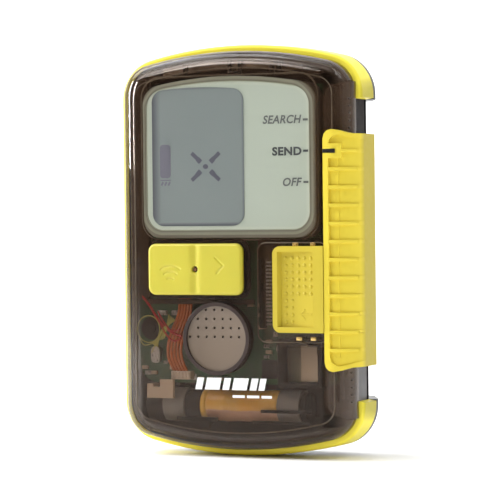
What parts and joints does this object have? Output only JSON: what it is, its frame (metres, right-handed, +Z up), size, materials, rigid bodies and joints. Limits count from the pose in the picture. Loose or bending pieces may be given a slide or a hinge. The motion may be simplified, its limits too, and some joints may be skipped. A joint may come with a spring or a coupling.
{
  "type": "avalanche transceiver",
  "caption": "Handheld avalanche transceiver: smoked clear cover over a display, ribbed side slider, lock tab, rocking key, speaker and a hinged battery door behind.",
  "frame": {"origin": "centre of the flat back face", "axes": "+Z up along the case, +Y out of the back, the front faces -Y, +X to the right seen from the front"},
  "size_m": [0.0764, 0.029, 0.118],
  "materials": {
    "smoked_clear": "transparent, glossy",
    "case_black": "fine texture",
    "band_yellow": "satin",
    "slider_yellow": "satin",
    "key_yellow": "soft touch",
    "black_plastic": "satin",
    "black_rubber": "matt",
    "display_glass": "clear over reflector",
    "display_film": "grey film",
    "display_frame": "olive, translucent",
    "diffuser": "milky",
    "speaker_grey": "satin",
    "board_green": "solder mask",
    "chip_black": "moulded",
    "chip_beige": "ceramic",
    "steel": "brushed",
    "gold_contact": "plated",
    "led_clear": "clear",
    "ribbon_orange": "insulation",
    "wire_red": "insulation",
    "wire_yellow_green": "insulation",
    "connector_beige": "moulded",
    "ferrite": "sintered",
    "winding_amber": "taped copper wire",
    "holder_grey": "moulded",
    "spacer_beige": "moulded",
    "cell_jacket": "printed sleeve"
  },
  "bodies": {
    "case": {"rear_case": "case_black", "case_seal": "black_rubber", "case_screws": "steel", "lanyard_eyelet": "steel", "bumper_band": "band_yellow", "front_cover": "smoked_clear", "lock_spring": "steel", "lock_contacts": "gold_contact", "status_led": "led_clear", "key_switches": "black_plastic", "lcd_frame": "display_frame", "lcd_glass": "display_glass", "lcd_film": "display_film", "light_guide": "diffuser", "zebra_strip": "black_rubber", "speaker_ring": "black_rubber", "speaker_grille": "speaker_grey", "speaker_driver": "black_plastic", "main_board": "board_green", "processor_chip": "chip_black", "radio_chip": "chip_black", "crystal_can": "steel", "chip_capacitors": "chip_beige", "vibration_motor": "black_plastic", "top_spacer": "spacer_beige", "ribbon_cable": "ribbon_orange", "ribbon_connector": "connector_beige", "red_wire": "wire_red", "coil_leads": "wire_yellow_green", "long_antenna_core": "ferrite", "long_antenna_winding": "winding_amber", "antenna_holders": "holder_grey", "antenna_caps": "black_rubber", "side_antenna_core": "ferrite", "side_antenna_winding": "winding_amber", "depth_antenna_frame": "black_plastic", "depth_antenna_winding": "winding_amber", "depth_antenna_core": "ferrite", "antenna_cradle": "spacer_beige", "antenna_clips": "black_plastic", "battery_cell_1": "cell_jacket", "battery_cell_2": "cell_jacket", "battery_cell_3": "cell_jacket", "battery_springs": "steel", "battery_contacts": "gold_contact", "hinge_pin": "steel", "door_seal": "black_rubber"},
    "slider": {"main_slider": "slider_yellow", "slider_marker": "black_plastic", "slider_magnets": "steel"},
    "lock": {"lock_tab": "slider_yellow"},
    "key": {"double_key": "key_yellow"},
    "door": {"battery_door": "case_black"},
    "door_lock": {"door_lock": "case_black"}
  },
  "joints": [
    {"name": "slider_slide", "type": "slide", "parent": "case", "child": "slider", "axis": [0, 0, 1], "range_m": [-0.0091, 0.0091]},
    {"name": "lock_slide", "type": "slide", "parent": "case", "child": "lock", "axis": [-1, 0, 0], "range_m": [0, 0.003], "stiffness_N_per_m": 250, "springref_m": -0.002},
    {"name": "key_rock", "type": "hinge", "parent": "case", "child": "key", "pos_m": [-0.0109, -0.0268, -0.00525], "axis": [0, 0, 1], "range_deg": [-2.5, 2.5], "stiffness_Nm_per_rad": 0.6},
    {"name": "door_swing", "type": "hinge", "parent": "case", "child": "door", "pos_m": [0, -0.0019, 0.0454], "axis": [1, 0, 0], "range_deg": [0, 95]},
    {"name": "door_lock_turn", "type": "hinge", "parent": "door", "child": "door_lock", "pos_m": [0, -0.002, 0.0049], "axis": [0, 1, 0], "range_deg": [0, 90]}
  ]
}
